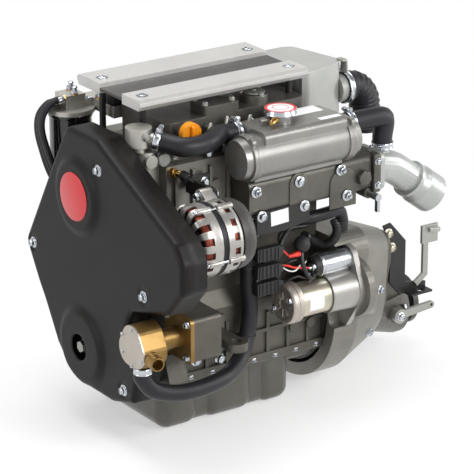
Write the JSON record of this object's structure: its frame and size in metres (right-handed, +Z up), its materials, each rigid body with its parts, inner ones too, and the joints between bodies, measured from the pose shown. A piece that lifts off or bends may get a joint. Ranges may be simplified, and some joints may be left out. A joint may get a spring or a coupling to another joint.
{
  "type": "marine diesel engine",
  "caption": "Inboard marine diesel engine with black belt cover, alloy top rails, heat exchanger, alternator, brass sea-water pump, starter and gearbox.",
  "frame": {"origin": "centre of the oil pan's flat bottom, on the crankshaft's centre plane", "axes": "+X along the crankshaft to the gearbox end, -Y to the service side with starter and sea-water pump, +Z up"},
  "size_m": [0.7747, 0.5603, 0.628],
  "materials": {
    "cast_grey": "satin paint on cast iron",
    "head_grey": "satin paint on cast iron",
    "pan_grey": "satin paint on pressed steel",
    "black_cover": "fine-grained moulding",
    "badge_red": "smooth",
    "gearbox_grey": "satin paint on cast alloy",
    "black_steel": "satin black paint",
    "plated_steel": "zinc plated",
    "rail_alloy": "fine sanded anodised alloy",
    "panel_dark": "smooth matt",
    "silencer_grey": "satin paint",
    "rubber_black": "moulded rubber",
    "cast_alloy": "as cast",
    "exchanger_grey": "metallic satin paint on cast alloy",
    "outlet_alloy": "fine bead-blasted casting",
    "bright_steel": "bright plated",
    "stator_black": "laminated steel, lacquered",
    "brass": "as cast, machined faces",
    "nickel_plate": "machined plate",
    "belt_rubber": "fabric-backed ribbed rubber",
    "starter_grey": "metallic lacquer",
    "filter_black": "gloss enamel can",
    "orange_plastic": "moulded",
    "crank_steel": "machined",
    "iron_raw": "machined cast iron",
    "piston_alloy": "turned"
  },
  "bodies": {
    "engine": {"cylinder_block": "cast_grey", "cylinder_head": "head_grey", "rocker_cover": "gearbox_grey", "oil_pan": "pan_grey", "gear_case": "head_grey", "belt_cover": "black_cover", "cover_badge": "badge_red", "flywheel_housing": "head_grey", "gearbox_case": "gearbox_grey", "cable_bracket": "black_steel", "cable_arm": "plated_steel", "top_rails": "rail_alloy", "centre_panel": "panel_dark", "rail_posts": "black_steel", "intake_silencer": "silencer_grey", "intake_elbow": "rubber_black", "intake_manifold": "head_grey", "exchanger_body": "exchanger_grey", "exchanger_caps": "exchanger_grey", "exhaust_manifold": "exchanger_grey", "exhaust_elbow": "outlet_alloy", "thermostat_housing": "cast_alloy", "coolant_hoses": "rubber_black", "seawater_hose": "rubber_black", "hose_clamps": "bright_steel", "alternator_housing": "cast_alloy", "alternator_stator": "stator_black", "alternator_cover": "panel_dark", "alternator_bracket": "black_steel", "sea_pump_body": "brass", "sea_pump_cover": "nickel_plate", "drive_belt": "belt_rubber", "starter_motor": "starter_grey", "starter_housing": "cast_alloy", "starter_solenoid": "bright_steel", "fuel_filter_can": "filter_black", "fuel_filter_head": "cast_alloy", "fuel_hoses": "rubber_black", "wiring_connectors": "panel_dark", "label_plate": "black_steel", "oil_filter": "filter_black", "fuel_rail": "plated_steel", "mount_brackets": "head_grey", "lifting_eyes": "plated_steel", "engine_bolts": "bright_steel"},
    "crank": {"crankshaft": "crank_steel", "crank_pulley": "iron_raw", "flywheel": "iron_raw"},
    "piston_front": {"piston_1": "piston_alloy"},
    "piston_middle": {"piston_2": "piston_alloy"},
    "piston_rear": {"piston_3": "piston_alloy"},
    "coolant_pump": {"coolant_pump_pulley": "iron_raw"},
    "alternator_shaft": {"alternator_rotor": "crank_steel"},
    "sea_pump_shaft": {"sea_pump_impeller": "rubber_black"},
    "gearbox_output": {"output_flange": "iron_raw"},
    "gear_lever": {"shift_lever": "plated_steel"},
    "coolant_filler": {"coolant_cap": "bright_steel"},
    "oil_filler": {"oil_filler_cap": "orange_plastic"},
    "dip_gauge": {"dipstick": "orange_plastic"},
    "drain_tap": {"drain_valve": "brass"}
  },
  "joints": [
    {"name": "crank_turns", "type": "hinge", "parent": "engine", "child": "crank", "pos_m": [0.043, 0, 0.158], "axis": [1, 0, 0], "continuous": true},
    {"name": "piston_front_travels", "type": "slide", "parent": "engine", "child": "piston_front", "axis": [0, 0, 1], "range_m": [-0.09, 0]},
    {"name": "piston_middle_travels", "type": "slide", "parent": "engine", "child": "piston_middle", "axis": [0, 0, 1], "range_m": [-0.0172, 0.0728]},
    {"name": "piston_rear_travels", "type": "slide", "parent": "engine", "child": "piston_rear", "axis": [0, 0, 1], "range_m": [-0.0172, 0.0728]},
    {"name": "coolant_pump_turns", "type": "hinge", "parent": "engine", "child": "coolant_pump", "pos_m": [-0.213, 0, 0.446], "axis": [1, 0, 0], "continuous": true},
    {"name": "alternator_turns", "type": "hinge", "parent": "engine", "child": "alternator_shaft", "pos_m": [-0.213, -0.236, 0.414], "axis": [1, 0, 0], "continuous": true},
    {"name": "sea_pump_turns", "type": "hinge", "parent": "engine", "child": "sea_pump_shaft", "pos_m": [-0.25, -0.21, 0.233], "axis": [1, 0, 0], "continuous": true},
    {"name": "output_turns", "type": "hinge", "parent": "engine", "child": "gearbox_output", "pos_m": [0.466, 0, 0.088], "axis": [1, 0, 0], "continuous": true},
    {"name": "shift_lever_swings", "type": "hinge", "parent": "engine", "child": "gear_lever", "pos_m": [0.412, -0.092, 0.1], "axis": [0, -1, 0], "range_deg": [-15, 15]},
    {"name": "coolant_cap_unlocks", "type": "hinge", "parent": "engine", "child": "coolant_filler", "pos_m": [0.097, -0.14, 0.579], "axis": [0, 0, 1], "range_deg": [0, 90]},
    {"name": "oil_cap_unlocks", "type": "hinge", "parent": "engine", "child": "oil_filler", "pos_m": [-0.074, -0.0983, 0.562], "axis": [0, -1, 0], "range_deg": [0, 90]},
    {"name": "dipstick_pulls_out", "type": "slide", "parent": "engine", "child": "dip_gauge", "axis": [0, 0, 1], "range_m": [0, 0.31]},
    {"name": "drain_valve_turns", "type": "hinge", "parent": "engine", "child": "drain_tap", "pos_m": [0.281, -0.1653, 0.396], "axis": [0, -1, 0], "range_deg": [0, 90]}
  ],
  "couplings": [
    {"joint": "coolant_pump_turns", "follows": "crank_turns", "ratio": 0.78571},
    {"joint": "alternator_turns", "follows": "crank_turns", "ratio": 1.8333},
    {"joint": "sea_pump_turns", "follows": "crank_turns", "ratio": -1.2}
  ]
}
